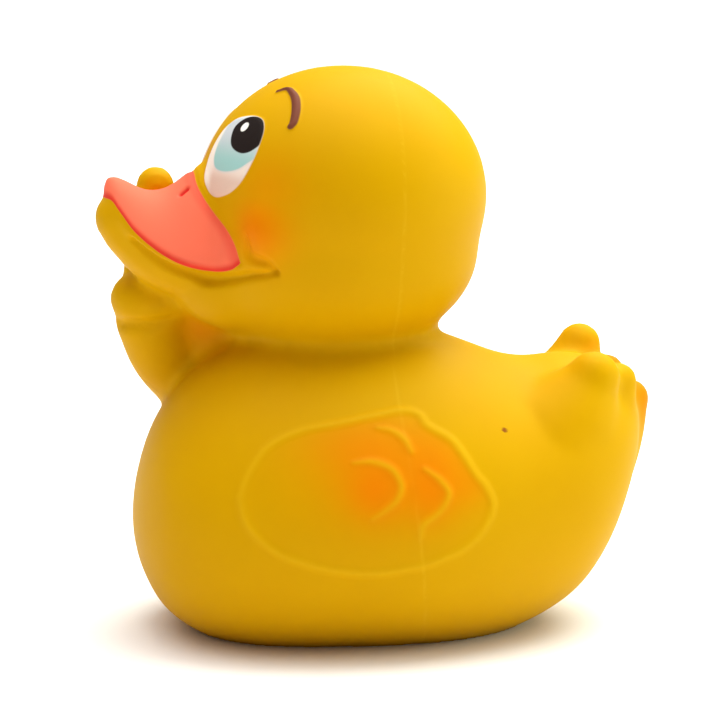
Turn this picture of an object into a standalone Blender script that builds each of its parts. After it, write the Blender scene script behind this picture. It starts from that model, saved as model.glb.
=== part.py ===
"""Bath duck, slush-cast in natural rubber, with a plastic squeaker set in its base.

The duck faces -Y and stands on z = 0, its left side towards +X. Its left wing lies flat on
the flank. Its right wing is raised like an arm, with the fist under the chin and one finger
up beside the bill. The casting is one hollow skin with a hole in its base for the squeaker.
All the figures are in millimetres, and MM turns them into metres.
"""

import math

import bmesh
import bpy
import numpy as np
from mathutils import Matrix, Vector

MM = 0.001

# The rubber skin.
WALL = 2.4
VOXEL = 1.0  # grid on which the separate forms melt into one
SOFT_ROUNDS = 20  # smoothing passes over the body and head
CRISP_ROUNDS = 3  # smoothing passes once the bill, hand and tail are on
SKIN_TRIANGLES = 8200
FLAT = 0.15  # whatever ends up this near the ground is levelled with it
CAVITY_VOXEL = 1.8
CAVITY_TRIANGLES = 1300

# The squeaker and its seat in the base.
SQUEAKER_Y = -2.0
SEAT_RADIUS = 9.0  # shallow recess that keeps the flange off the ground
SEAT_DEPTH = 1.3
HOLE_RADIUS = 6.5
GAP = 0.3  # clearance between the rubber and the squeaker
FLANGE = 0.7
TONE_HOLE_RADIUS = 1.2
BARREL_TOP = 10.0

# Stations along a form: y, lowest z, z of the widest point, highest z, half width.
BODY = [
    (-40.1, 18.0, 18.0, 18.0, 0.0),
    (-39.6, 12.9, 18.2, 23.8, 7.5),
    (-37.8, 7.9, 18.8, 30.5, 14.5),
    (-34.9, 3.4, 19.5, 36.6, 20.5),
    (-29.0, -0.6, 20.0, 43.5, 26.5),
    (-20.0, -3.0, 20.5, 48.5, 31.0),
    (-8.0, -3.6, 21.0, 50.5, 33.5),
    (5.0, -3.6, 21.0, 50.0, 33.3),
    (14.0, -3.0, 21.5, 47.2, 31.0),
    (22.0, -1.2, 22.5, 44.6, 27.5),
    (29.0, 2.0, 24.0, 44.3, 24.0),
    (34.0, 5.8, 26.0, 44.3, 20.8),
    (38.5, 12.5, 29.0, 42.8, 16.5),
    (41.7, 21.0, 31.0, 40.0, 11.5),
    (43.4, 27.5, 33.5, 37.5, 7.0),
    (44.0, 33.5, 33.5, 33.5, 0.0),
]
UPPER_BILL = [
    (-16.0, 68.0, 68.0, 68.0, 0.0),
    (-17.0, 62.5, 65.0, 76.0, 9.0),
    (-20.0, 60.8, 63.2, 79.5, 11.0),
    (-25.0, 60.2, 62.2, 78.8, 12.2),
    (-30.0, 60.0, 61.9, 76.0, 12.0),
    (-34.0, 60.8, 62.5, 73.2, 11.2),
    (-37.5, 62.6, 64.3, 72.9, 10.0),
    (-40.8, 65.0, 66.8, 74.5, 8.2),
    (-43.2, 68.8, 70.2, 75.2, 5.2),
    (-44.4, 73.0, 73.0, 73.0, 0.0),
]

# Ellipsoids: centre, then radii.
HEAD = ((0, -5.2, 71.6), (24.0, 23.6, 21.1))
NECK = ((0, -6.4, 63.0), (22.5, 23.5, 17.2))
JAW = ((0, -19.5, 59.0), (13.5, 15.0, 9.8))
LEFT_CHEEK = ((12.5, -14.5, 67.3), (9.0, 9.0, 7.5))
RIGHT_CHEEK = ((-12.5, -14.5, 67.3), (9.0, 9.0, 7.5))
FIST = ((-5.5, -36.0, 54.2), (6.5, 7.2, 5.2))
TAIL = ((0, 31.0, 33.5), (19.0, 10.5, 10.8))

# Points along the middle of a limb: x, y, z, radius.
LOWER_BILL = [(0, -24, 61.0, 8.0), (0, -34, 63.0, 6.6), (0, -39.5, 66.2, 5.0), (0, -41.6, 68.4, 4.2)]
LOWER_BILL_SPREAD = 1.4
RAISED_WING = [
    (-24.0, -12.0, 36.0, 9.5),
    (-21.0, -22.0, 38.5, 9.0),
    (-15.0, -28.5, 41.0, 8.0),
    (-10.5, -33.0, 45.0, 7.0),
    (-7.5, -35.8, 50.5, 6.4),
]
FINGER = [(-8.5, -37.0, 56.0, 3.9), (-12.2, -36.3, 64.0, 3.5), (-12.4, -34.9, 72.0, 3.2)]
TAIL_FEATHERS = [
    [(-10.0, 29.0, 30.0, 8.5), (-11.4, 34.4, 37.5, 6.4), (-12.4, 36.9, 43.6, 3.8)],
    [(-5.5, 32.0, 27.0, 7.0), (-6.6, 37.8, 34.0, 4.8), (-6.8, 40.4, 39.8, 3.2)],
    [(0.0, 35.0, 19.0, 7.0), (0.0, 40.6, 29.0, 4.6), (0.0, 43.2, 36.6, 3.2)],
    [(5.5, 32.0, 27.0, 7.0), (6.8, 37.4, 34.6, 5.0), (7.0, 39.4, 40.6, 3.4)],
    [(10.0, 26.5, 30.0, 9.6), (11.0, 31.2, 37.0, 7.9), (11.8, 34.4, 42.2, 4.4)],
]

# Left wing in low relief on the flank: its outline as y, z.
WING_OUTLINE = [
    (-25.5, 27.5),
    (-23.8, 31.5),
    (-20.5, 35.0),
    (-15.5, 37.5),
    (-7.0, 39.5),
    (0.5, 40.5),
    (4.0, 39.0),
    (8.0, 36.0),
    (12.0, 31.0),
    (14.5, 26.5),
    (13.0, 21.7),
    (8.0, 18.2),
    (1.0, 16.2),
    (-5.0, 15.5),
    (-11.0, 16.1),
    (-17.5, 18.0),
    (-22.8, 21.2),
]
WING_RISE = 0.7
WING_EDGE = 2.4  # how far inside its outline the wing reaches its full rise


def clear_scene():
    for obj in list(bpy.data.objects):
        bpy.data.objects.remove(obj, do_unlink=True)


def through(rows, steps):
    """Smooth curve through all the rows but the first and last, which only steer its ends."""
    rows = np.array(rows, float)
    curve = []
    for before, start, end, after in zip(rows, rows[1:], rows[2:], rows[3:]):
        for t in np.arange(steps) / steps:
            curve.append(
                start
                + 0.5 * t * (end - before)
                + t * t * (before - 2.5 * start + 2 * end - 0.5 * after)
                + 0.5 * t**3 * (3 * start - before - 3 * end + after)
            )
    return np.array(curve + [rows[-2]])


def skin_rings(bm, first_pole, rings, last_pole):
    """Closed surface over a row of rings, with a pole at each end."""
    loops = [[bm.verts.new(Vector(point) * MM) for point in ring] for ring in rings]
    start = bm.verts.new(Vector(first_pole) * MM)
    end = bm.verts.new(Vector(last_pole) * MM)
    sides = len(loops[0])
    faces = []
    for j in range(sides):
        k = (j + 1) % sides
        faces.append(bm.faces.new((start, loops[0][k], loops[0][j])))
        faces.append(bm.faces.new((end, loops[-1][j], loops[-1][k])))
        for here, there in zip(loops, loops[1:]):
            faces.append(bm.faces.new((here[j], here[k], there[k], there[j])))
    bmesh.ops.recalc_face_normals(bm, faces=faces)


def add_loft(bm, stations, sides=64, steps=6):
    """Form with a station's section at each y, rounded off at both ends."""
    rows = [(y, mid, mid - low, high - mid, half) for y, low, mid, high, half in stations]
    mirrored = np.array((1, 1, -1, -1, -1))
    steered = [rows[1] * mirrored, *rows, rows[-2] * mirrored]
    angles = np.arange(sides) * 2 * math.pi / sides
    rings = []
    for y, mid, below, above, half in through(steered, steps)[1:-1]:
        rings.append(
            [
                (half * math.cos(a), y, mid + (above if math.sin(a) > 0 else below) * math.sin(a))
                for a in angles
            ]
        )
    skin_rings(bm, (0, rows[0][0], rows[0][1]), rings, (0, rows[-1][0], rows[-1][1]))


def add_limb(bm, points, spread=1.0, sides=32, steps=6):
    """Rounded, tapering limb along a smooth curve. Spread widens its section along X."""
    points = np.array(points, float)
    steered = [2 * points[0] - points[1], *points, 2 * points[-1] - points[-2]]
    line = through(steered, steps)
    centres, radii = line[:, :3], line[:, 3]
    along = np.gradient(centres, axis=0)
    along /= np.linalg.norm(along, axis=1)[:, None]
    cap = np.radians((15, 30, 45, 60, 75))
    sections = [(centres[0] - along[0] * radii[0] * math.sin(a), radii[0] * math.cos(a), along[0])
                for a in cap[::-1]]
    sections += list(zip(centres, radii, along))
    sections += [(centres[-1] + along[-1] * radii[-1] * math.sin(a), radii[-1] * math.cos(a), along[-1])
                 for a in cap]
    rings = []
    for centre, radius, forward in sections:
        across = np.array((1.0, 0.0, 0.0)) - forward * forward[0]
        across /= np.linalg.norm(across)
        up = np.cross(forward, across)
        rings.append(
            [
                centre + radius * (spread * math.cos(a) * across + math.sin(a) * up)
                for a in np.arange(sides) * 2 * math.pi / sides
            ]
        )
    skin_rings(bm, centres[0] - along[0] * radii[0], rings, centres[-1] + along[-1] * radii[-1])


def add_ellipsoid(bm, centre, radii):
    place = Matrix.Translation(Vector(centre) * MM) @ Matrix.Diagonal((*(Vector(radii) * MM), 1))
    bmesh.ops.create_uvsphere(bm, u_segments=64, v_segments=40, radius=1.0, matrix=place)


def worked(mesh, *steps):
    """Mesh after the modifiers in steps, each given as its type and a dictionary of settings."""
    obj = bpy.data.objects.new("working", mesh)
    bpy.context.collection.objects.link(obj)
    for kind, settings in steps:
        modifier = obj.modifiers.new(kind.lower(), kind)
        for name, value in settings.items():
            setattr(modifier, name, value)
    graph = bpy.context.evaluated_depsgraph_get()
    result = bpy.data.meshes.new_from_object(obj.evaluated_get(graph), depsgraph=graph)
    bpy.data.objects.remove(obj, do_unlink=True)
    return result


def melt(bm, voxel, rounds):
    """Overlapping forms become one smooth skin."""
    mesh = bpy.data.meshes.new("forms")
    bm.to_mesh(mesh)
    bm.free()
    return worked(
        mesh,
        ("REMESH", {"mode": "VOXEL", "voxel_size": voxel * MM}),
        ("SMOOTH", {"factor": 0.5, "iterations": rounds}),
    )


def soft_forms():
    """Body, neck and head, which flow into each other."""
    bm = bmesh.new()
    add_loft(bm, BODY)
    for centre, radii in (HEAD, NECK, JAW, LEFT_CHEEK, RIGHT_CHEEK, TAIL):
        add_ellipsoid(bm, centre, radii)
    return melt(bm, VOXEL, SOFT_ROUNDS)


def outer_skin(soft):
    """The soft forms with the bill, the raised wing and the tail feathers."""
    bm = bmesh.new()
    bm.from_mesh(soft)
    add_loft(bm, UPPER_BILL, sides=48)
    add_limb(bm, LOWER_BILL, spread=LOWER_BILL_SPREAD)
    add_limb(bm, RAISED_WING)
    add_ellipsoid(bm, *FIST)
    add_limb(bm, FINGER)
    for feather in TAIL_FEATHERS:
        add_limb(bm, feather)
    return melt(bm, VOXEL, CRISP_ROUNDS)


def raise_wing(mesh):
    """Lifts the left wing off the flank."""
    corners = [WING_OUTLINE[-1], *WING_OUTLINE, *WING_OUTLINE[:2]]
    outline = through(corners, 8)[:-1]
    ahead = np.roll(outline, -1, axis=0)
    lifted = {}
    for vert in mesh.vertices:
        if vert.co.x < 15 * MM or vert.co.z > 46 * MM:
            continue
        spot = np.array((vert.co.y, vert.co.z)) / MM
        crosses = (outline[:, 1] > spot[1]) != (ahead[:, 1] > spot[1])
        rise = np.where(crosses, ahead[:, 1] - outline[:, 1], 1.0)
        reach = outline[:, 0] + (spot[1] - outline[:, 1]) * (ahead[:, 0] - outline[:, 0]) / rise
        if np.count_nonzero(crosses & (spot[0] < reach)) % 2:
            inside = min(1.0, np.linalg.norm(outline - spot, axis=1).min() / WING_EDGE)
            lifted[vert.index] = vert.co + vert.normal * WING_RISE * MM * inside * (2 - inside)
    for index, place in lifted.items():
        mesh.vertices[index].co = place


def thin_out(mesh, triangles):
    """The same surface with about that many triangles."""
    share = triangles / sum(len(face.vertices) - 2 for face in mesh.polygons)
    return worked(mesh, ("DECIMATE", {"ratio": share, "use_collapse_triangulate": True}))


def cut_level(mesh, z):
    """Cuts off all that lies below z, and closes the cut with a flat face."""
    bm = bmesh.new()
    bm.from_mesh(mesh)
    geometry = bm.verts[:] + bm.edges[:] + bm.faces[:]
    cut = bmesh.ops.bisect_plane(
        bm, geom=geometry, dist=0.01 * MM, plane_co=(0, 0, z * MM), plane_no=(0, 0, 1), clear_inner=True
    )
    edges = [item for item in cut["geom_cut"] if isinstance(item, bmesh.types.BMEdge)]
    bmesh.ops.contextual_create(bm, geom=edges)
    bmesh.ops.triangulate(bm, faces=[face for face in bm.faces if len(face.verts) > 3])
    bmesh.ops.recalc_face_normals(bm, faces=bm.faces)
    bm.to_mesh(mesh)
    bm.free()


def air_cavity(soft):
    """The hollow: the soft forms shrunk by the wall, level above the base."""
    hollow = worked(
        soft,
        ("DISPLACE", {"direction": "NORMAL", "strength": -WALL * MM, "mid_level": 0.0}),
        ("REMESH", {"mode": "VOXEL", "voxel_size": CAVITY_VOXEL * MM}),
        ("SMOOTH", {"factor": 0.5, "iterations": 4}),
    )
    hollow = thin_out(hollow, CAVITY_TRIANGLES)
    cut_level(hollow, WALL)
    return hollow


def turned(name, profile, sides=48):
    """Object made by turning a closed outline of radius and height about the squeaker's axis."""
    bm = bmesh.new()
    verts = [bm.verts.new((r * MM, 0, z * MM)) for r, z in profile]
    edges = [bm.edges.new(pair) for pair in zip(verts, verts[1:] + verts[:1])]
    bmesh.ops.spin(
        bm, geom=verts + edges, cent=(0, 0, 0), axis=(0, 0, 1), angle=2 * math.pi, steps=sides
    )
    bmesh.ops.remove_doubles(bm, verts=bm.verts, dist=0.001 * MM)
    bmesh.ops.recalc_face_normals(bm, faces=bm.faces)
    bmesh.ops.translate(bm, verts=bm.verts, vec=(0, SQUEAKER_Y * MM, 0))
    mesh = bpy.data.meshes.new(name)
    bm.to_mesh(mesh)
    bm.free()
    obj = bpy.data.objects.new(name, mesh)
    bpy.context.collection.objects.link(obj)
    return obj


def finish(obj, colour, roughness, crease=40):
    """Own Principled material, and smooth shading up to the crease angle in degrees."""
    material = bpy.data.materials.new(obj.name)
    material.use_nodes = True
    shader = material.node_tree.nodes["Principled BSDF"]
    shader.inputs["Base Color"].default_value = (*colour, 1)
    shader.inputs["Roughness"].default_value = roughness
    shader.inputs["Metallic"].default_value = 0.0
    obj.data.materials.clear()
    obj.data.materials.append(material)
    obj.data.shade_smooth()
    obj.data.set_sharp_from_angle(angle=math.radians(crease))


def subtract(obj, cutter):
    """Boolean difference that stays on the object. The cutter stays as a hidden guide."""
    cutter.hide_render = True
    cutter.display_type = "WIRE"
    modifier = obj.modifiers.new(cutter.name, "BOOLEAN")
    modifier.operation = "DIFFERENCE"
    modifier.object = cutter


def make_duck_body():
    soft = soft_forms()
    skin = outer_skin(soft)
    raise_wing(skin)
    cut_level(skin, 0.0)
    skin = thin_out(skin, SKIN_TRIANGLES)
    for vert in skin.vertices:
        if vert.co.z < FLAT * MM:
            vert.co.z = 0.0
    body = bpy.data.objects.new("duck_body", skin)
    bpy.context.collection.objects.link(body)
    finish(body, colour=(0.90, 0.56, 0.02), roughness=0.45)

    cavity = bpy.data.objects.new("cavity_cutter", air_cavity(soft))
    bpy.context.collection.objects.link(cavity)
    subtract(body, cavity)
    floor = WALL + 1.0
    seat = [
        (0.0, -1.0),
        (SEAT_RADIUS, -1.0),
        (SEAT_RADIUS, SEAT_DEPTH),
        (HOLE_RADIUS, SEAT_DEPTH),
        (HOLE_RADIUS, floor),
        (0.0, floor),
    ]
    subtract(body, turned("seat_cutter", seat))


def make_squeaker():
    """Flange under the base, groove that grips the rubber, and barrel with the reed inside."""
    flange_top = SEAT_DEPTH - GAP
    profile = [
        (TONE_HOLE_RADIUS, flange_top - FLANGE),
        (SEAT_RADIUS - GAP - 0.3, flange_top - FLANGE),
        (SEAT_RADIUS - GAP, flange_top - FLANGE + 0.3),
        (SEAT_RADIUS - GAP, flange_top),
        (HOLE_RADIUS - GAP, flange_top),
        (HOLE_RADIUS - GAP, WALL + GAP),
        (HOLE_RADIUS + 0.9, WALL + GAP + 0.4),
        (HOLE_RADIUS - 0.4, WALL + GAP + 2.6),
        (HOLE_RADIUS - 1.0, BARREL_TOP),
        (TONE_HOLE_RADIUS, BARREL_TOP),
    ]
    squeaker = turned("squeaker", profile)
    finish(squeaker, colour=(0.82, 0.80, 0.74), roughness=0.35, crease=30)


clear_scene()
make_duck_body()
make_squeaker()
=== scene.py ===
# Bath duck in natural rubber, painted by hand and airbrush, on a white table.
# It faces -Y and stands on z = 0. Shapes are in millimetres and mm turns them into metres.

import math

import bpy
import numpy as np
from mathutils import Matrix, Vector
from mathutils.bvhtree import BVHTree
from mathutils.kdtree import KDTree


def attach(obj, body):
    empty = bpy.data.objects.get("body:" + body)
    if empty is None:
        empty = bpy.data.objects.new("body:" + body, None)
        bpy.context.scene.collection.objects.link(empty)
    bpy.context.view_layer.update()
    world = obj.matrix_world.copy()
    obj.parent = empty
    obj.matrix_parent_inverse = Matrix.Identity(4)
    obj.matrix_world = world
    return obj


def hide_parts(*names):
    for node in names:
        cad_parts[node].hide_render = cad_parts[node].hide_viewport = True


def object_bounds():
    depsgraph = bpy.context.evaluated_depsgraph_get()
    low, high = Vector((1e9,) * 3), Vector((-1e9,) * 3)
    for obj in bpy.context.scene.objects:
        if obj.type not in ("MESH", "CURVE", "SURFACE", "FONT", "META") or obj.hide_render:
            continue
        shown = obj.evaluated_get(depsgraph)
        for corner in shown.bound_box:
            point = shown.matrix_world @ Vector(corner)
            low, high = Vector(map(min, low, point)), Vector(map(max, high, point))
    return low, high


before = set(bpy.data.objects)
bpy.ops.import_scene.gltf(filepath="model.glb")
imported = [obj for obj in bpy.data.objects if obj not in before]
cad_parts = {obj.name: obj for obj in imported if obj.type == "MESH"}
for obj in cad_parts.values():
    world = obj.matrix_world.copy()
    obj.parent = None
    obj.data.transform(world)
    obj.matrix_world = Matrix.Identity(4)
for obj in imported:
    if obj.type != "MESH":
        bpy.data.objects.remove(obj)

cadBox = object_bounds()
mm = 0.001


# Small tools

def deselectAll():
    bpy.ops.object.select_all(action="DESELECT")


def pick(*pieces):
    deselectAll()
    for piece in pieces:
        piece.select_set(True)
    bpy.context.view_layer.objects.active = pieces[0]


def hexColour(text):
    # sRGB hex to the linear colour that shaders work in
    parts = [int(text[i:i + 2], 16) / 255 for i in (1, 3, 5)]
    return (*[c / 12.92 if c <= 0.04045 else ((c + 0.055) / 1.055) ** 2.4 for c in parts], 1.0)


def addNode(tree, kind, wires=None, **settings):
    # wires: what each input gets, another node's output to link or a value to set
    node = tree.nodes.new(kind)
    for name, value in settings.items():
        setattr(node, name, value)
    for name, value in (wires or {}).items():
        if isinstance(value, bpy.types.NodeSocket):
            tree.links.new(value, node.inputs[name])
        else:
            node.inputs[name].default_value = value
    return node


def newMaterial(name):
    material = bpy.data.materials.new(name)
    material.use_nodes = True
    return material, material.node_tree, material.node_tree.nodes["Principled BSDF"]


def applyModifier(piece, kind, **settings):
    pick(piece)
    modifier = piece.modifiers.new(kind.title(), kind)
    for name, value in settings.items():
        setattr(modifier, name, value)
    bpy.ops.object.modifier_apply(modifier=modifier.name)


def smoothLine(points, steps=8, closed=False):
    # a line that passes smoothly through every point
    points = np.array(points, float)
    if closed:
        ends = [points[-1], *points, points[0], points[1]]
    else:
        ends = [2 * points[0] - points[1], *points, 2 * points[-1] - points[-2]]
    line = []
    for before, start, end, after in zip(ends, ends[1:], ends[2:], ends[3:]):
        for t in np.arange(steps) / steps:
            line.append(
                start
                + 0.5 * t * (end - before)
                + t * t * (before - 2.5 * start + 2 * end - 0.5 * after)
                + 0.5 * t**3 * (3 * start - before - 3 * end + after)
            )
    return np.array(line if closed else line + [points[-1]])


# Table, camera and light

stageLook = {
    "cameraAzimuth": 82,  # degrees round the duck, 0 is in front of its bill
    "cameraElevation": 10,
    "cameraDistance": 0.6,
    "cameraAim": (0, -0.0024, 0.044),
    "cameraLens": 182,
    "cameraSensor": 36,
    "tableSize": 8,
    "tableColour": "#F6F1EE",
    "tableRoughness": 0.7,
    "tableSpecular": 0.1,
    "skyTop": 4.3,  # light from straight above
    "skyLow": 0.28,  # and from the horizon
    "skyFocus": 6.0,  # how closely the light gathers overhead
    "lamps": [
        # name, place, aim, size, watts, colour
        ("overheadSoftbox", (-0.25, 0.30, 0.70), (0, 0, 0.05), 0.9, 9.0, "#EEFFF8"),
        ("rearSoftbox", (0.10, 0.80, 0.26), (0, 0, 0.05), 0.45, 2.4, "#DDFFF2"),
    ],
}


def setStage(look):
    azimuth = math.radians(look["cameraAzimuth"])
    elevation = math.radians(look["cameraElevation"])
    back = Vector((
        math.sin(azimuth) * math.cos(elevation),
        -math.cos(azimuth) * math.cos(elevation),
        math.sin(elevation),
    ))
    deselectAll()
    bpy.ops.object.camera_add(location=Vector(look["cameraAim"]) + back * look["cameraDistance"])
    camera = bpy.context.object
    camera.rotation_euler = back.to_track_quat("Z", "Y").to_euler()
    camera.data.lens = look["cameraLens"]
    camera.data.sensor_width = look["cameraSensor"]
    camera.data.clip_start = 0.01
    bpy.context.scene.camera = camera

    for name, place, aim, size, watts, colour in look["lamps"]:
        bpy.ops.object.light_add(type="AREA", location=place)
        lamp = bpy.context.object
        lamp.name = name
        lamp.rotation_euler = (Vector(place) - Vector(aim)).to_track_quat("Z", "Y").to_euler()
        lamp.data.size = size
        lamp.data.energy = watts
        lamp.data.color = hexColour(colour)[:3]

    # sky that is brighter overhead, as under a light tent
    world = bpy.data.worlds.new("lightTent")
    world.use_nodes = True
    tree = world.node_tree
    tree.nodes.clear()
    place = addNode(tree, "ShaderNodeTexCoord")
    axes = addNode(tree, "ShaderNodeSeparateXYZ", {0: place.outputs["Generated"]})
    upward = addNode(tree, "ShaderNodeMath", {0: axes.outputs["Z"], 1: 0.0}, operation="MAXIMUM")
    gathered = addNode(tree, "ShaderNodeMath", {
        0: upward.outputs[0], 1: look["skyFocus"],
    }, operation="POWER")
    level = addNode(tree, "ShaderNodeMapRange", {
        "Value": gathered.outputs[0],
        "To Min": look["skyLow"],
        "To Max": look["skyTop"],
    })
    glow = addNode(tree, "ShaderNodeBackground", {"Color": (1, 1, 1, 1), "Strength": level.outputs[0]})
    addNode(tree, "ShaderNodeOutputWorld", {"Surface": glow.outputs[0]})
    bpy.context.scene.world = world
    bpy.context.scene.view_settings.view_transform = "Standard"

    bpy.ops.mesh.primitive_plane_add(size=look["tableSize"], location=(0, 0, 0))
    table = bpy.context.object
    table.name = "table"
    # a matt laminate, which throws its light back up at the duck
    laminate, tree, shader = newMaterial("whiteLaminate")
    shader.inputs["Base Color"].default_value = hexColour(look["tableColour"])
    shader.inputs["Roughness"].default_value = look["tableRoughness"]
    shader.inputs["Specular IOR Level"].default_value = look["tableSpecular"]
    table.data.materials.append(laminate)


setStage(stageLook)
print("stage set")


# The duck's forms, in millimetres

# stations of a form: y, lowest z, z where it is widest, highest z, half width
duckForms = {
    "bodyStations": [
        (-40.1, 18, 18, 18, 0),
        (-39.6, 12.9, 18.2, 23.8, 7.5),
        (-37.8, 7.9, 18.8, 30.5, 14.5),
        (-34.9, 3.4, 19.5, 36.6, 20.5),
        (-29, -0.6, 20, 43.5, 26.5),
        (-20, -3, 20.5, 48.5, 31),
        (-8, -3.6, 21, 50.5, 33.5),
        (5, -3.6, 21, 50, 33.3),
        (14, -3, 21.5, 47.2, 31),
        (22, -1.2, 22.5, 44.2, 27.5),
        (29, 2, 24, 43.7, 24),
        (34, 5.8, 26, 44.3, 20.8),
        (38.5, 12.5, 29, 42.8, 16.5),
        (41.7, 21, 31, 40, 11.5),
        (43.4, 27.5, 33.5, 37.5, 7),
        (44, 33.5, 33.5, 33.5, 0),
    ],
    "billStations": [
        (-16, 68, 68, 68, 0),
        (-17, 62.5, 65, 76, 9),
        (-20, 60.8, 63.2, 79.5, 11),
        (-25, 60.2, 62.2, 78.8, 12.2),
        (-30, 60, 61.9, 76, 12),
        (-34, 60.8, 62.5, 73.2, 11.2),
        (-37.5, 62.6, 64.3, 72.9, 10),
        (-40.8, 65, 66.8, 74.5, 8.2),
        (-43.2, 68.8, 70.2, 75.2, 5.2),
        (-44.4, 73, 73, 73, 0),
    ],
    # balls: middle, then half sizes
    "softBalls": [
        ((0, -5.2, 71.6), (24, 23.6, 21.1)),  # head
        ((0, -6.4, 63), (22.5, 23.5, 17.2)),  # neck
        ((0, -19.5, 59), (13.5, 15, 9.8)),  # jaw
        ((12.5, -14.5, 67.3), (9, 9, 7.5)),  # cheeks
        ((-12.5, -14.5, 67.3), (9, 9, 7.5)),
        ((0, 31, 33.5), (19, 10.5, 10.8)),  # root of the tail
        ((-7.5, -27, 49.5), (5.5, 6.5, 5.5)),  # web between the raised wing and the neck
    ],
    "fist": ((-5.5, -36, 54.2), (6.5, 7.2, 5.2)),
    # limbs: x, y, z of points along the middle, with the radius there
    "raisedWing": [
        (-24, -12, 36, 9.5),
        (-21, -22, 38.5, 9),
        (-15, -28.5, 41, 8),
        (-10.5, -33, 45, 7),
        (-7.5, -35.8, 50.5, 6.4),
    ],
    "finger": [(-8.5, -37, 56, 3.9), (-12.2, -36.3, 64, 3.5), (-12.4, -34.9, 72, 3.2)],
    "lowerBill": [(0, -24, 61, 8), (0, -34, 63, 6.6), (0, -39.5, 66.2, 5), (0, -41.6, 68.4, 4.2)],
    "lowerBillSpread": 1.4,
    "tailFeathers": [
        [(-10, 29, 30, 8.5), (-11.4, 34.4, 37.5, 6.4), (-12.4, 36.9, 43.6, 3.8)],
        [(-5.5, 32, 27, 7), (-6.6, 37.8, 34, 4.8), (-6.8, 40.4, 39.8, 3.2)],
        [(0, 35, 19, 7), (0, 40.6, 29, 4.6), (0, 43.2, 36.6, 3.2)],
        [(5.5, 32, 27, 7), (6.8, 37.4, 34.6, 5), (7, 39.4, 40.6, 3.4)],
        [(10.8, 26.5, 30.5, 11.4), (11.3, 31.2, 36.6, 8.9), (11.8, 34.4, 42.2, 4.5)],
    ],
    "billEdge": 1.6,
    # grids on which the forms melt together, and how often they are then smoothed
    "softVoxel": 1.0,
    "softRounds": 20,
    "limbVoxel": 0.8,
    "limbRounds": 4,
    "fineVoxel": 0.78,
    "fineRounds": 4,
    "seatRadius": 9.0,  # recess and chamber for the squeaker
    "seatDepth": 1.3,
    "holeRadius": 6.5,
    "chamberRadius": 8.6,
    "chamberTop": 11.0,
    "squeakerY": -2.0,
}


def ballForm(centre, radii):
    deselectAll()
    bpy.ops.mesh.primitive_uv_sphere_add(segments=64, ring_count=40, radius=1)
    ball = bpy.context.object
    bpy.ops.object.mode_set(mode="EDIT")
    bpy.ops.transform.resize(value=Vector(radii) * mm, center_override=(0, 0, 0))
    bpy.ops.transform.translate(value=Vector(centre) * mm)
    bpy.ops.object.mode_set(mode="OBJECT")
    return ball


def stationForm(stations, edge=1.0, steps=6):
    # a ball with its poles along Y, each ring drawn out to the section of its station
    # edge 1 keeps the sections round, and 2 brings each side to a sharp edge
    rows = [(y, mid, mid - low, high - mid, half) for y, low, mid, high, half in stations]
    turned = np.array((1, 1, -1, -1, -1))  # past a pole the section turns over, which rounds the end
    steered = [rows[1] * turned, *rows, rows[-2] * turned]
    sections = smoothLine(steered, steps)[steps:-steps]
    rings = len(sections) - 1
    deselectAll()
    bpy.ops.mesh.primitive_uv_sphere_add(segments=64, ring_count=rings, radius=1)
    form = bpy.context.object
    for vert in form.data.vertices:
        ring = round(math.acos(max(-1, min(1, vert.co.z))) / math.pi * rings)
        y, mid, below, above, half = sections[ring]
        around = math.atan2(vert.co.y, vert.co.x)
        height = above if around > 0 else below
        pole = ring in (0, rings)
        vert.co = Vector((
            0 if pole else half * math.cos(around),
            y,
            mid if pole else mid + height * math.copysign(abs(math.sin(around)) ** edge, around),
        )) * mm
    bpy.ops.object.mode_set(mode="EDIT")
    bpy.ops.mesh.select_all(action="SELECT")
    bpy.ops.mesh.normals_make_consistent(inside=False)
    bpy.ops.object.mode_set(mode="OBJECT")
    return form


def limbForm(points, spread=1.0):
    # a bevelled curve with a ball at each end
    line = smoothLine(points, 6)
    curve = bpy.data.curves.new("limb", "CURVE")
    curve.dimensions = "3D"
    curve.bevel_depth = mm
    curve.bevel_resolution = 6
    curve.use_fill_caps = True
    spline = curve.splines.new("POLY")
    spline.points.add(len(line) - 1)
    for point, (x, y, z, radius) in zip(spline.points, line):
        point.co = (x * mm, y * mm, z * mm, 1)
        point.radius = radius
    tube = bpy.data.objects.new("limb", curve)
    bpy.context.collection.objects.link(tube)
    pick(tube)
    bpy.ops.object.convert(target="MESH")
    tube = bpy.context.object
    ends = [ballForm(end[:3], (end[3],) * 3) for end in (line[0], line[-1])]
    pick(tube, *ends)
    bpy.ops.object.join()
    limb = bpy.context.object
    bpy.ops.object.mode_set(mode="EDIT")
    bpy.ops.mesh.select_all(action="SELECT")
    bpy.ops.transform.resize(value=(spread, 1, 1), center_override=Vector(line[0][:3]) * mm)
    bpy.ops.object.mode_set(mode="OBJECT")
    return limb


def meltTogether(forms, voxel, rounds):
    # overlapping forms become one smooth skin
    pick(*forms)
    if len(forms) > 1:
        bpy.ops.object.join()
    skin = bpy.context.object
    applyModifier(skin, "REMESH", mode="VOXEL", voxel_size=voxel * mm)
    applyModifier(skin, "SMOOTH", factor=0.5, iterations=rounds)
    return skin


def levelBase(skin):
    # cut flat where it stands, and closed, without slivers along the cut
    pick(skin)
    bpy.ops.object.mode_set(mode="EDIT")
    bpy.ops.mesh.select_all(action="SELECT")
    bpy.ops.mesh.bisect(plane_co=(0, 0, 0), plane_no=(0, 0, 1), use_fill=True, clear_inner=True)
    bpy.ops.mesh.select_all(action="SELECT")
    bpy.ops.mesh.remove_doubles(threshold=0.08 * mm)
    bpy.ops.object.mode_set(mode="OBJECT")
    for vert in skin.data.vertices:
        if vert.co.z < 0.15 * mm:
            vert.co.z = 0


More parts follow.
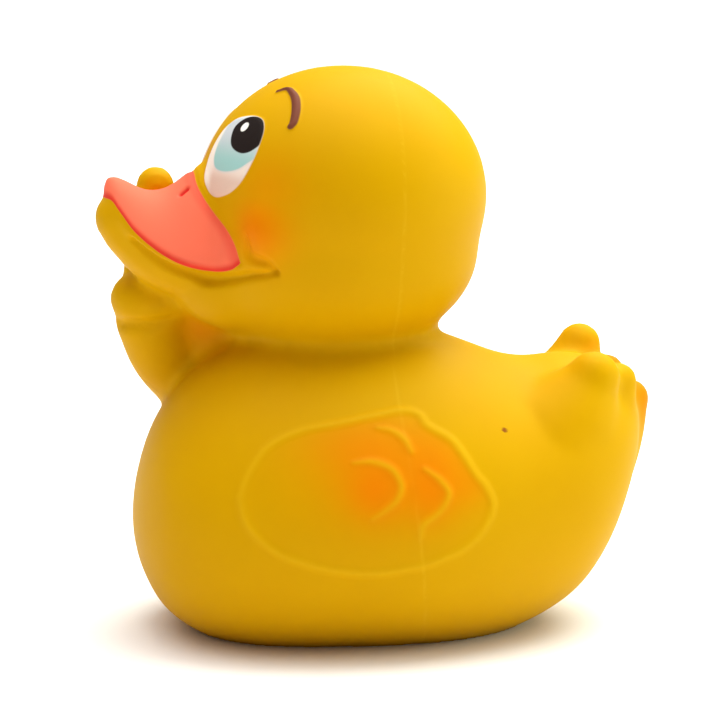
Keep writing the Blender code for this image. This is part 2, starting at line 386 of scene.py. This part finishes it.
def cutSqueakerSeat(skin, forms):
    # shallow recess, hole, and a chamber inside that leaves the squeaker room
    steps = [
        (forms["seatRadius"], -2.0, forms["seatDepth"]),
        (forms["holeRadius"], forms["seatDepth"] - 0.5, 2.6),
        (forms["chamberRadius"], 2.4, forms["chamberTop"]),
    ]
    for radius, low, high in steps:
        deselectAll()
        bpy.ops.mesh.primitive_cylinder_add(
            vertices=96,
            radius=radius * mm,
            depth=(high - low) * mm,
            location=(0, forms["squeakerY"] * mm, (low + high) / 2 * mm),
        )
        cutter = bpy.context.object
        applyModifier(skin, "BOOLEAN", operation="DIFFERENCE", object=cutter)
        bpy.data.objects.remove(cutter, do_unlink=True)


def buildDuck(forms):
    softParts = [stationForm(forms["bodyStations"])]
    softParts += [ballForm(centre, radii) for centre, radii in forms["softBalls"]]
    skin = meltTogether(softParts, forms["softVoxel"], forms["softRounds"])

    limbs = [limbForm(forms["raisedWing"]), ballForm(*forms["fist"])]
    limbs += [limbForm(feather) for feather in forms["tailFeathers"]]
    skin = meltTogether([skin, *limbs], forms["limbVoxel"], forms["limbRounds"])

    crispParts = [
        stationForm(forms["billStations"], forms["billEdge"]),
        limbForm(forms["lowerBill"], forms["lowerBillSpread"]),
        limbForm(forms["finger"]),
    ]
    skin = meltTogether([skin, *crispParts], forms["fineVoxel"], forms["fineRounds"])
    levelBase(skin)
    cutSqueakerSeat(skin, forms)
    skin.name = "duck_skin"
    skin.data.name = "duck_skin"
    return skin


skin = buildDuck(duckForms)
print("duck modelled:", len(skin.data.polygons), "faces")


# Marks on the skin: where it is painted and where it is raised or pressed in.
# The eyes, brows, nostrils, cheeks and mouth are the same on both sides.

duckMarks = {
    "eyeMiddle": (8.6, -24.2, 79.2),
    "eyeFacing": (0.364, -0.833, 0.417),
    # on the eye's own plane: outwards from the middle of the head, then up
    "eyeOutline": [
        (-0.5, 6.8), (2.2, 7.1), (4.5, 6.5), (6.2, 4.3), (6.8, 0.4), (5.8, -3.4), (3.2, -5.9),
        (-0.9, -7.0), (-3.6, -5.9), (-5.9, -3.4), (-6.7, -0.6), (-5.7, 3.6), (-3.4, 5.9),
    ],
    "irisOutline": [
        (-4.1, 2.5), (-3.7, -0.6), (-2.1, -2.5), (1.0, -2.9), (4.4, -2.0), (6.8, 0.2),
        (8.0, 3.0), (6.0, 7.5), (0.0, 8.5), (-3.7, 6.6),
    ],
    "pupilOutline": [
        (1.3, 6.9), (4.4, 6.6), (6.6, 3.9), (6.2, 1.6), (4.0, 0.5), (1.0, 1.1), (-0.8, 2.9), (-1.2, 5.0),
    ],
    "glint": (1.4, 4.8, 0.85),
    # strokes: x, y, z along the stroke, with half its width there
    "brow": [
        (6.2, -16.6, 89.1, 0.35), (7.0, -15.1, 89.5, 0.5), (8.6, -14.6, 89.2, 0.6),
        (11.0, -14.3, 88.4, 0.75), (13.4, -14.5, 86.9, 0.8), (15.2, -15.1, 85.3, 0.75),
        (15.6, -15.6, 84.6, 0.65),
    ],
    "nostril": [(4.8, -32.3, 72.9, 0.35), (4.8, -31.6, 73.9, 0.4)],
    "mouth": [
        (19.1, -18.6, 61.8, 0.3), (17.8, -20.4, 61.2, 0.5), (16.1, -22.3, 60.9, 0.7),
        (12.9, -25.2, 59.9, 0.9), (10.3, -28.9, 59.6, 1.0), (9.6, -32.9, 60.7, 0.9),
        (8.8, -36.6, 62.9, 0.7), (7.4, -40.0, 65.8, 0.5),
    ],
    "mouthFold": [
        (16.3, -22.5, 67.0, 0.4), (16.5, -22.2, 64.3, 0.7), (18.4, -19.9, 63.3, 0.6),
        (19.1, -18.5, 61.8, 0.3),
    ],
    # the bill's paint ends at its rim (y, z) and at the face (z, y)
    "rim": [
        (-46.0, 71.5), (-43.6, 71.9), (-42.2, 70.2), (-40.0, 67.2), (-36.9, 64.5), (-33.8, 62.6),
        (-30.6, 61.4), (-27.5, 60.9), (-25.2, 61.4), (-23.9, 62.6), (-20.0, 67.0),
    ],
    "faceEdge": [
        (60.0, -23.0), (62.9, -23.9), (65.5, -24.6), (67.7, -25.7), (70.0, -27.3), (72.2, -28.7),
        (74.3, -29.7), (75.9, -29.9), (79.0, -30.0),
    ],
    "cheek": (18.4, -20.6, 69.0),
    "cheekRise": 1.5,
    "cheekSpread": 4.2,
    "wingOutline": [
        (27.8, -25.5, 27.5), (27, -23.8, 31.3), (26.1, -20.7, 35.1), (26.1, -15.6, 37.5),
        (26.9, -9.5, 39), (26.5, -4.1, 40), (25.6, 0.7, 40.5), (25.8, 3.4, 39.7),
        (27.1, 4.6, 38.1), (27.8, 8.1, 35.9), (28.8, 10, 33.5), (29.9, 11.9, 30.6),
        (30.3, 13.8, 28.2), (30.8, 14.7, 25.2), (31.9, 12.9, 21.6), (32.7, 9.7, 19),
        (33.3, 5.6, 17.3), (33.4, 1, 16.2), (33.2, -5, 15.5), (32.9, -11, 16.1),
        (32, -17, 17.7), (31.2, -19.9, 19), (30.3, -22.8, 21.2), (29.2, -24.8, 23.8),
    ],
    # feather arcs on the wing: y, z, half width
    "wingArcs": [
        [(-7.7, 33, 0.2), (-4.7, 33.1, 0.5), (-1.8, 32, 0.55), (-0.4, 29.6, 0.55),
         (-1.1, 27.4, 0.5), (-3, 25.8, 0.4), (-5.1, 24.6, 0.2)],
        [(-3.5, 37.9, 0.2), (-1.3, 37.5, 0.4), (0.5, 36.3, 0.5), (1.6, 34.4, 0.3)],
        [(3.5, 31.8, 0.25), (5.8, 30.1, 0.5), (7.2, 28.2, 0.55), (6.6, 26.4, 0.5),
         (5.1, 24.8, 0.5), (3, 23.3, 0.5), (2.6, 21.4, 0.3)],
    ],
    "beadHalfWidth": 0.55,
    "fistFold": [
        (1.5, -32.5, 50.0, 0.5), (0.5, -36.0, 50.2, 0.9), (-1.5, -40.5, 50.0, 0.9),
        (-5.0, -43.2, 49.8, 0.6),
    ],
    # line where the mould's halves met: z, y. It is only painted, as a lighter line: a painted highlight
    # for the faint ridge of the seam, which is not modelled
    "seam": [(0, 5.2), (4, 4.8), (12, 3.6), (40, 0.5), (51, 1.2), (75, 1.6), (93, 1.6)],
    "seamHalfWidth": 0.2,
    # specks of dirt: x, y, z, size
    "specks": [(23.6, 17.7, 36.3, 0.7), (17.0, -32.7, 33.1, 0.3), (32.9, -9.7, 28.2, 0.25)],
    # field, how far it stands out, where that is reached and where it starts
    "relief": [
        ("eyeEdge", 0.35, 0.7, -0.5),
        ("browEdge", 0.55, 0.75, -0.35),
        ("nostrilEdge", -0.45, 0.35, -0.5),
        ("mouthEdge", -1.1, 0.9, -0.7),
        ("mouthFoldEdge", -0.7, 0.7, -0.8),
        ("fistFoldEdge", -0.8, 0.9, -0.9),
        ("beadEdge", 0.26, 0.5, -0.75),
    ],
    "billStepDepth": 0.25,
    # airbrushed on the wing: y, z, spread along y and z, strength
    "wingMist": [
        (-4.6, 28.8, 4.6, 4.4, 0.7),
        (4.2, 28.2, 3.8, 4.6, 0.6),
        (-6.0, 35.4, 9.0, 4.4, 0.45),
        (5.5, 33.2, 5.5, 4.6, 0.35),
        (10.5, 29.0, 4.2, 3.4, 0.35),
        (-1.0, 31.0, 13.0, 7.5, 0.45),
    ],
    # airbrushed on both cheeks, with painted shade above them; then on one side only, airbrush on the tail
    # and painted shade in the hollow of the neck: x, y, z, spread, strength
    # the second mist, wider and fainter, is painted shade in the hollow between the cheek and the eye
    "cheekMistAndShade": [(18.5, -21.2, 68.6, 5.2, 0.85), (18, -19.5, 74.5, 6, 0.35)],
    "spotMistAndShade": [
        (-6.8, 41.5, 42.5, 4.0, 0.75),  # tail feathers
        (0, 45.5, 37.0, 5.5, 0.75),
        # painted shade: orange where shade falls in the hollow of the neck
        (-4.5, -27.5, 50.5, 4.0, 0.75),  # hollow of the neck
    ],
}

farAway = 6.0  # how far from a mark its distance is followed, in mm


def insideDistance(spots, outline):
    # distance of flat points from a closed outline, positive inside it
    outline = smoothLine(outline, 6, closed=True)
    ahead = np.roll(outline, -1, axis=0)
    edge = ahead - outline
    field = np.full(len(spots), -farAway)
    low, high = outline.min(0) - farAway, outline.max(0) + farAway
    near = ((spots > low) & (spots < high)).all(1)
    offset = spots[near][:, None] - outline
    along = np.clip((offset * edge).sum(2) / (edge**2).sum(1), 0, 1)
    gap = np.linalg.norm(offset - along[..., None] * edge, axis=2).min(1)
    crosses = (outline[:, 1] > spots[near][:, None, 1]) != (ahead[:, 1] > spots[near][:, None, 1])
    reach = offset[..., 1] * edge[:, 0] / np.where(crosses, edge[:, 1], 1)
    inside = (crosses & (offset[..., 0] < reach)).sum(1) % 2 == 1
    field[near] = np.where(inside, gap, -gap)
    return field


def strokeDistance(spots, stroke, surface):
    # how far inside a stroke each spot lies; the stroke is laid on the surface first
    line = smoothLine(stroke, 12)
    tree = KDTree(len(line))
    for index, point in enumerate(line):
        tree.insert(surface.find_nearest(Vector(point[:3]) * mm)[0] / mm, index)
    tree.balance()
    field = np.full(len(spots), -farAway)
    low, high = line[:, :3].min(0) - farAway, line[:, :3].max(0) + farAway
    for spot in np.flatnonzero(((spots > low) & (spots < high)).all(1)):
        place, index, gap = tree.find(spots[spot])
        field[spot] = line[index, 3] - gap
    return field


def ontoFlank(surface, y, z):
    # the point of the left flank at that y and z
    hit = surface.ray_cast(Vector((60, y, z)) * mm, Vector((-1, 0, 0)))
    return hit[0] / mm


def measureMarks(spots, marks, surface):
    # signed distances in mm, positive inside a mark
    mirrored = spots.copy()
    mirrored[:, 0] = np.abs(mirrored[:, 0])
    facing = Vector(marks["eyeFacing"]).normalized()
    up = (Vector((0, 0, 1)) - facing * facing.z).normalized()
    out = up.cross(facing)
    offset = mirrored - np.array(marks["eyeMiddle"])
    onEye = np.stack((offset @ np.array(out), offset @ np.array(up)), axis=1)
    onEye[offset @ np.array(facing) < -6] = 50  # the back of the head lies behind the eye's plane
    fields = {
        "eyeSide": onEye[:, 0],
        "eyeHeight": onEye[:, 1],
        "eyeEdge": insideDistance(onEye, marks["eyeOutline"]),
        "irisEdge": insideDistance(onEye, marks["irisOutline"]),
        "pupilEdge": insideDistance(onEye, marks["pupilOutline"]),
    }
    glintSide, glintHeight, glintRadius = marks["glint"]
    fields["glintEdge"] = glintRadius - np.hypot(onEye[:, 0] - glintSide, onEye[:, 1] - glintHeight)
    for name in ("brow", "nostril", "mouth", "mouthFold"):
        fields[name + "Edge"] = strokeDistance(mirrored, marks[name], surface)
    fields["fistFoldEdge"] = strokeDistance(spots, marks["fistFold"], surface)

    rim = smoothLine(marks["rim"])
    faceEdge = smoothLine(marks["faceEdge"])
    x, y, z = mirrored.T
    fields["rimHeight"] = z - np.interp(y, rim[:, 0], rim[:, 1])
    fields["faceGap"] = np.interp(z, faceEdge[:, 0], faceEdge[:, 1]) - y
    finger = smoothLine(duckForms["finger"], 12)
    offFinger = np.full(len(spots), farAway)
    for point in finger:
        offFinger = np.minimum(offFinger, np.linalg.norm(spots - point[:3], axis=1) - point[3])
    fields["billEdge"] = np.minimum.reduce([
        fields["rimHeight"], fields["faceGap"], offFinger - 0.25, 80 - z,
    ])

    outline = [(*point, marks["beadHalfWidth"]) for point in marks["wingOutline"]]
    beads = [outline + outline[:1]]
    for arc in marks["wingArcs"]:
        beads.append([(*ontoFlank(surface, y, z), half) for y, z, half in arc])
    fields["beadEdge"] = np.max([strokeDistance(spots, bead, surface) for bead in beads], axis=0)
    fields["wingSide"] = insideDistance(spots[:, 1:], [point[1:] for point in marks["wingOutline"]])
    seam = smoothLine(marks["seam"])
    seamY = np.interp(spots[:, 2], seam[:, 0], seam[:, 1])
    fields["seamHighlightEdge"] = marks["seamHalfWidth"] - np.abs(spots[:, 1] - seamY)
    flatter = (1, 1, 1.6)  # specks lie a little longer than they are high
    fields["speckEdge"] = np.max([
        size - np.linalg.norm((spots - place) * flatter, axis=1) for *place, size in marks["specks"]
    ], axis=0)
    fields["cheekGap"] = np.linalg.norm(mirrored - np.array(marks["cheek"]), axis=1)
    return fields


def meshSpots(skin):
    spots = np.empty(len(skin.data.vertices) * 3)
    skin.data.vertices.foreach_get("co", spots)
    return spots.reshape(-1, 3) / mm


def surfaceOf(skin):
    return BVHTree.FromObject(skin, bpy.context.evaluated_depsgraph_get())


def refineSkin(skin, marks, rounds):
    # smaller faces along the marks, so that their edges come out crisp
    for names, reach in rounds:
        surface = surfaceOf(skin)
        centres = np.empty(len(skin.data.polygons) * 3)
        skin.data.polygons.foreach_get("center", centres)
        fields = measureMarks(centres.reshape(-1, 3) / mm, marks, surface)
        chosen = np.zeros(len(skin.data.polygons), bool)
        for name in names:
            inner = farAway if name == "eyeEdge" else reach  # the whole eye
            chosen |= (fields[name] > -reach) & (fields[name] < inner)
        pick(skin)
        bpy.ops.object.mode_set(mode="EDIT")
        bpy.ops.mesh.select_mode(type="FACE")
        bpy.ops.mesh.select_all(action="DESELECT")
        bpy.ops.object.mode_set(mode="OBJECT")
        skin.data.polygons.foreach_set("select", chosen)
        bpy.ops.object.mode_set(mode="EDIT")
        bpy.ops.mesh.subdivide(number_cuts=1, smoothness=0)
        bpy.ops.mesh.vertices_smooth(factor=0.5, repeat=2)
        bpy.ops.object.mode_set(mode="OBJECT")


def swell(field, inner, outer=0.0):
    # 0 at outer or less, 1 at inner or more, with a smooth rise between
    t = np.clip((field - outer) / (inner - outer), 0, 1)
    return t * t * (3 - 2 * t)


def raiseMarks(skin, marks, fields, spots):
    normals = np.empty(len(skin.data.vertices) * 3)
    skin.data.vertices.foreach_get("normal", normals)
    normals = normals.reshape(-1, 3)
    rise = np.zeros(len(spots))
    for name, height, full, start in marks["relief"]:
        rise += height * swell(fields[name], full, start)
    rise += marks["cheekRise"] * np.exp(-((fields["cheekGap"] / marks["cheekSpread"]) ** 2))
    # the face ends in a small step at the bill
    billGap = np.abs(fields["faceGap"])
    onFace = (fields["rimHeight"] > -0.5) & (spots[:, 2] < 80) & (billGap < 2)
    rise -= np.where(onFace, marks["billStepDepth"] * swell(-billGap, -0.1, -0.9), 0)
    # and nothing passes the box that the solid duck fills
    boxLow = np.array(cadBox[0]) + 1e-6
    boxHigh = np.array(cadBox[1]) - 1e-6
    moved = np.clip((spots + normals * rise[:, None]) * mm, boxLow, boxHigh)
    skin.data.vertices.foreach_set("co", moved.ravel())
    skin.data.update()


def storeFields(skin, fields, names):
    for name in names:
        attribute = skin.data.attributes.new(name, "FLOAT", "POINT")
        attribute.data.foreach_set("value", fields[name].astype(np.float32))


def mistAndShadeCover(spots, marks, fields):
    # how much orange the airbrush laid down, together with orange painted shade in the hollow of the neck
    # and above the cheeks
    x, y, z = spots.T
    cover = np.zeros(len(spots))
    for middleY, middleZ, spreadY, spreadZ, strength in marks["wingMist"]:
        mist = strength * np.exp(-(((y - middleY) / spreadY) ** 2) - ((z - middleZ) / spreadZ) ** 2)
        cover = 1 - (1 - cover) * (1 - np.where(x > 15, mist, 0))
    cover *= swell(fields["wingSide"], 1.5, -0.8)
    mists = [(np.abs(x), *mist) for mist in marks["cheekMistAndShade"]]
    mists += [(x, *mist) for mist in marks["spotMistAndShade"]]
    for across, middleX, middleY, middleZ, spread, strength in mists:
        gap = (across - middleX) ** 2 + (y - middleY) ** 2 + (z - middleZ) ** 2
        cover = np.maximum(cover, strength * np.exp(-gap / spread**2))
    return cover


crispMarks = ("eyeEdge", "browEdge", "nostrilEdge")
softMarks = ("billEdge", "mouthEdge", "mouthFoldEdge", "beadEdge")
refineSkin(skin, duckMarks, [(crispMarks + softMarks, 1.4), (crispMarks, 0.8)])
spots = meshSpots(skin)
fields = measureMarks(spots, duckMarks, surfaceOf(skin))
fields["airbrushAndShade"] = mistAndShadeCover(spots, duckMarks, fields)
raiseMarks(skin, duckMarks, fields, spots)
fields["irisEdge"] = np.minimum(fields["irisEdge"], fields["eyeEdge"])
fields["irisLow"] = fields["eyeHeight"]
paintFields = (
    "eyeEdge", "eyeHeight", "eyeSide", "irisEdge", "irisLow", "pupilEdge", "glintEdge", "browEdge",
    "nostrilEdge", "billEdge", "rimHeight", "faceGap", "beadEdge", "seamHighlightEdge", "speckEdge", "airbrushAndShade",
)
storeFields(skin, fields, paintFields)
triangles = sum(len(polygon.vertices) - 2 for polygon in skin.data.polygons)
print("marks laid out:", len(skin.data.polygons), "faces,", triangles, "triangles")


# Natural rubber, dipped and cured, with a satin skin: it scatters light a little way in,
# which warms its shadows. The paint on it is thin, matt and cured with it.

rubberLook = {
    "yellow": "#C89200",
    "yellowPale": "#CD9900",
    "roughness": 0.5,
    "specular": 0.03,  # cured latex hardly shines, except along its silhouette
    "scatter": 0.05,
    "scatterReach": 2.5,
    "scatterTint": (1.0, 0.45, 0.1),  # red light goes deepest
    "cloudScale": 60.0,
    "grainSize": 0.25,  # the fine pits that the mould leaves
    "grainDepth": 0.012,
    "paintBleed": 0.12,
    # paint, with painted highlight and painted shade among it: colour, field, where it starts and is full
    # in mm, and a field that it stays inside
    "paint": [
        # painted highlight along the mould seam
        ("#CF9C0E", "seamHighlightEdge", -0.3, 0.2, None),
        # orange airbrush, with painted shade in the hollow of the neck and above the cheeks
        ("#E27200", "airbrushAndShade", 0.0, 1.0, None),
        # the beads: kept clear of the orange mist, as where the paint was wiped off them, and lighter than
        # the yellow around them, which is a painted highlight on their raised edges
        ("#D4A20C", "beadEdge", -0.6, 1.2, None),
        ("#8A4A12", "speckEdge", -0.2, 0.25, None),
        ("#F06E52", "billEdge", -0.12, 0.12, None),
        ("#E65A44", "faceGap", 2.2, 0.2, "billEdge"),
        # darker red along the rim: painted shade where the bill's edge curves under
        ("#D6362A", "rimHeight", 1.5, 0.2, "billEdge"),
        ("#D62F28", "nostrilEdge", -0.3, 0.2, None),
        ("#EAD6C8", "eyeEdge", -0.15, 0.15, None),
        ("#DDBCAA", "eyeHeight", -2.2, -4.4, "eyeEdge"),
        ("#F0E4D6", "eyeSide", -2.0, -4.4, "eyeEdge"),
        ("#C2C4C6", "irisEdge", -0.6, 0.6, "eyeEdge"),
        ("#9AC2BC", "irisLow", 3.5, -1.5, "irisEdge"),
        ("#241C1A", "pupilEdge", -0.12, 0.12, "eyeEdge"),
        ("#F4EEE4", "glintEdge", -0.1, 0.15, "eyeEdge"),
        ("#744030", "browEdge", -0.1, 0.15, None),
    ],
}


def paintedRubber(look):
    material, tree, shader = newMaterial("paintedNaturalRubber")
    place = addNode(tree, "ShaderNodeTexCoord")

    # the yellow is hardly clouded, as in a poured colour
    clouds = addNode(tree, "ShaderNodeTexNoise", {
        "Vector": place.outputs["Object"], "Scale": look["cloudScale"], "Detail": 2.0,
    })
    base = addNode(tree, "ShaderNodeMix", {
        0: clouds.outputs[0],
        6: hexColour(look["yellow"]),
        7: hexColour(look["yellowPale"]),
    }, data_type="RGBA")
    colour = base.outputs[2]
    bleed = look["paintBleed"]
    for paint, field, start, full, within in look["paint"]:
        cover = None
        fade = "LINEAR" if field == "airbrushAndShade" else "SMOOTHSTEP"
        for name, low, high in ((field, start, full), (within, -bleed, bleed)):
            if name is None:
                continue
            reading = addNode(tree, "ShaderNodeAttribute", attribute_name=name)
            edge = addNode(tree, "ShaderNodeMapRange", {
                "Value": reading.outputs["Fac"], "From Min": low, "From Max": high,
            }, interpolation_type=fade)
            if cover is None:
                cover = edge.outputs[0]
            else:
                both = addNode(tree, "ShaderNodeMath", {0: cover, 1: edge.outputs[0]}, operation="MULTIPLY")
                cover = both.outputs[0]
        layer = addNode(tree, "ShaderNodeMix", {0: cover, 6: colour, 7: hexColour(paint)}, data_type="RGBA")
        colour = layer.outputs[2]
    tree.links.new(colour, shader.inputs["Base Color"])

    shader.inputs["Roughness"].default_value = look["roughness"]
    shader.inputs["Specular IOR Level"].default_value = look["specular"]
    shader.inputs["Subsurface Weight"].default_value = look["scatter"]
    shader.inputs["Subsurface Radius"].default_value = look["scatterTint"]
    shader.inputs["Subsurface Scale"].default_value = look["scatterReach"] * mm
    grain = addNode(tree, "ShaderNodeTexNoise", {
        "Vector": place.outputs["Object"], "Scale": 1 / (look["grainSize"] * mm), "Detail": 1.0,
    })
    bump = addNode(tree, "ShaderNodeBump", {
        "Height": grain.outputs[0], "Distance": look["grainDepth"] * mm, "Strength": 1.0,
    })
    tree.links.new(bump.outputs[0], shader.inputs["Normal"])
    return material


pick(skin)
bpy.ops.object.shade_smooth()
skin.data.materials.clear()
skin.data.materials.append(paintedRubber(rubberLook))
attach(skin, "root")
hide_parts("duck_body")
print("rubber and paint on")


# The squeaker is moulded polyethylene: waxy, slightly cloudy, with a soft shine.

squeakerLook = {
    "colour": "#E4E0D2",
    "shade": "#D6D1C0",
    "roughness": 0.38,
    "ior": 1.51,
    "flowSize": 3.0,  # the faint flow marks of the moulding
    "flowDepth": 0.02,
}


def mouldedPolyethylene(look):
    material, tree, shader = newMaterial("mouldedPolyethylene")
    place = addNode(tree, "ShaderNodeTexCoord")
    flow = addNode(tree, "ShaderNodeTexNoise", {
        "Vector": place.outputs["Object"], "Scale": 1 / (look["flowSize"] * mm), "Detail": 2.0,
    })
    colour = addNode(tree, "ShaderNodeMix", {
        0: flow.outputs[0], 6: hexColour(look["colour"]), 7: hexColour(look["shade"]),
    }, data_type="RGBA")
    tree.links.new(colour.outputs[2], shader.inputs["Base Color"])
    shader.inputs["Roughness"].default_value = look["roughness"]
    shader.inputs["IOR"].default_value = look["ior"]
    bump = addNode(tree, "ShaderNodeBump", {"Height": flow.outputs[0], "Distance": look["flowDepth"] * mm})
    tree.links.new(bump.outputs[0], shader.inputs["Normal"])
    return material


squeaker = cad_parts["squeaker"]
squeaker.data.materials.clear()
squeaker.data.materials.append(mouldedPolyethylene(squeakerLook))
print("squeaker finished")
